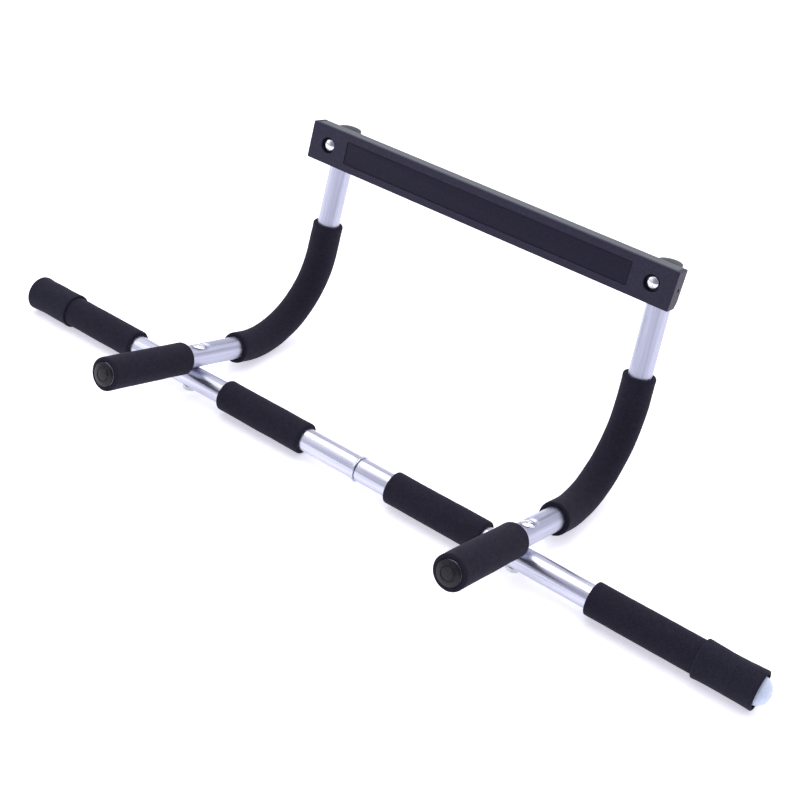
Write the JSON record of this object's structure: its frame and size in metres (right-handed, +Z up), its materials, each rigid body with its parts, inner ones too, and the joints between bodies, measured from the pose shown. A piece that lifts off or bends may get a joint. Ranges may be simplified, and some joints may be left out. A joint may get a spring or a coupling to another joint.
{
  "type": "pull up bar",
  "caption": "Doorway pull-up bar: a steel bar with foam grips, curved arms with neutral grips, and a plastic top bar that hooks behind a door frame.",
  "frame": {"origin": "middle of the object's outline on the floor, with the object lying on its two end sleeves and the heels of its two curved arms", "axes": "+X along the main bar to the right, -Y towards the neutral grips, +Z up"},
  "size_m": [0.953, 0.3888, 0.2614],
  "materials": {
    "main_chrome": "bright chromed steel tube",
    "arm_steel": "satin silver steel tube",
    "grip_foam": "matt closed-cell foam, fine grain",
    "sleeve_foam": "matt closed-cell foam, thick and soft",
    "pale_plastic": "pale translucent moulded plastic",
    "plug_plastic": "black moulded plastic, slight gloss",
    "cap_plastic": "dark grey moulded plastic",
    "cover_plastic": "fine-textured black moulded plastic",
    "body_plastic": "fine-textured black moulded plastic",
    "pad_rubber": "matt rubber sheet",
    "bolt_chrome": "bright plated bolt",
    "zinc_steel": "zinc plated"
  },
  "bodies": {
    "frame": {"main_tube_left": "main_chrome", "main_tube_right": "main_chrome", "end_cap_left": "pale_plastic", "end_cap_right": "pale_plastic", "outer_grip_left": "grip_foam", "outer_grip_right": "grip_foam", "inner_grip_left": "grip_foam", "inner_grip_right": "grip_foam", "arm_tube_left": "arm_steel", "arm_tube_right": "arm_steel", "arm_plug_left": "plug_plastic", "arm_plug_right": "plug_plastic", "arm_cap_left": "cap_plastic", "arm_cap_right": "cap_plastic", "neutral_grip_left": "grip_foam", "neutral_grip_right": "grip_foam", "curve_grip_left": "grip_foam", "curve_grip_right": "grip_foam", "crossing_bolt_left": "bolt_chrome", "crossing_bolt_right": "bolt_chrome", "crossing_washer_left": "zinc_steel", "crossing_washer_right": "zinc_steel", "crossing_nut_left": "zinc_steel", "crossing_nut_right": "zinc_steel", "bar_front_cover": "cover_plastic", "bar_rear_body": "body_plastic", "wall_pad": "pad_rubber", "bar_bolt_left": "bolt_chrome", "bar_bolt_right": "bolt_chrome", "bar_washer_left": "plug_plastic", "bar_washer_right": "plug_plastic", "saddle_strap_left": "zinc_steel", "saddle_strap_right": "zinc_steel", "bar_nut_left": "zinc_steel", "bar_nut_right": "zinc_steel"},
    "sleeve_left": {"end_sleeve_left": "sleeve_foam"},
    "sleeve_right": {"end_sleeve_right": "sleeve_foam"}
  },
  "joints": [
    {"name": "left_sleeve_slide", "type": "slide", "parent": "frame", "child": "sleeve_left", "axis": [-1, 0, 0], "range_m": [-0.045, 0.03]},
    {"name": "right_sleeve_slide", "type": "slide", "parent": "frame", "child": "sleeve_right", "axis": [1, 0, 0], "range_m": [-0.045, 0.03]}
  ]
}
